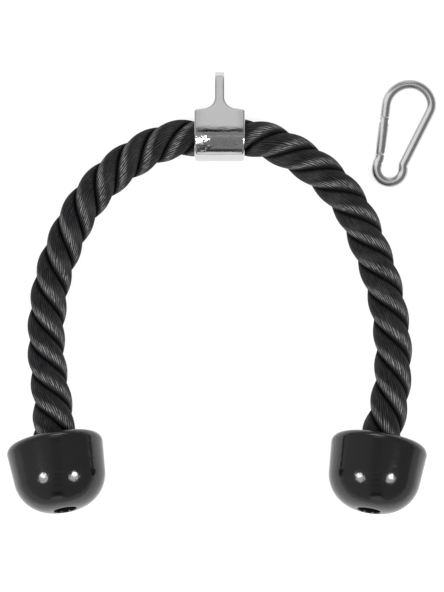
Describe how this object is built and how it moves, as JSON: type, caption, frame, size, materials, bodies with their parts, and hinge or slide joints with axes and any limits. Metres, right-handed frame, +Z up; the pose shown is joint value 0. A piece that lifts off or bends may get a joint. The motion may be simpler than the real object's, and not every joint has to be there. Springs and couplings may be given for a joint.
{
  "type": "triceps rope attachment",
  "caption": "Thick laid rope bent through a flared metal collar with an eye, with a bell-shaped stopper on each end and a loose spring-gate snap hook beside it.",
  "frame": {"origin": "middle of the footprint of the collar, stoppers and snap hook, on the floor that all of it lies on", "axes": "+Z up from the floor, +Y from the stoppers towards the collar's eye, +X to the snap hook's side"},
  "size_m": [0.3214, 0.3316, 0.0743],
  "materials": {
    "chromed_steel": "bright chrome plate",
    "zinc_plated_steel": "bright zinc plate",
    "black_rope": "laid nylon, charcoal",
    "black_moulding": "glossy black moulding"
  },
  "bodies": {
    "collar": {"eye_collar": "chromed_steel", "rope_core": "black_rope", "rope_left": "black_rope", "rope_right": "black_rope"},
    "left_end": {"stopper_left": "black_moulding", "rope_end_left": "black_rope", "washer_left": "zinc_plated_steel", "end_screw_left": "zinc_plated_steel"},
    "right_end": {"stopper_right": "black_moulding", "rope_end_right": "black_rope", "washer_right": "zinc_plated_steel", "end_screw_right": "zinc_plated_steel"},
    "snap_hook": {"hook_frame": "zinc_plated_steel", "gate_rivet": "zinc_plated_steel"},
    "gate": {"gate": "zinc_plated_steel", "gate_spring": "zinc_plated_steel"},
    "plunger": {"spring_plunger": "zinc_plated_steel"}
  },
  "joints": [
    {"name": "left_end_swing", "type": "hinge", "parent": "collar", "child": "left_end", "pos_m": [-0.13009, -0.00378, 0.016], "axis": [0, 0, 1], "range_deg": [-20, 25], "deforming": ["rope_left"]},
    {"name": "right_end_swing", "type": "hinge", "parent": "collar", "child": "right_end", "pos_m": [0.12181, 0.00022, 0.0158], "axis": [0, 0, 1], "range_deg": [-25, 20], "deforming": ["rope_right"]},
    {"name": "hook_lift", "type": "slide", "parent": "collar", "child": "snap_hook", "axis": [0, 0, 1], "range_m": [0, 0.1]},
    {"name": "gate_swing", "type": "hinge", "parent": "snap_hook", "child": "gate", "pos_m": [0.11874, 0.10564, 0.0037], "axis": [0, 0, -1], "range_deg": [0, 35], "stiffness_Nm_per_rad": 0.1, "springref_deg": -28.65},
    {"name": "plunger_slide", "type": "slide", "parent": "gate", "child": "plunger", "axis": [0.1253, 0.9921, 0], "range_m": [0, 0.00125], "deforming": ["gate_spring"]}
  ],
  "couplings": [
    {"joint": "plunger_slide", "follows": "gate_swing", "m_per_rad": 0.002}
  ]
}
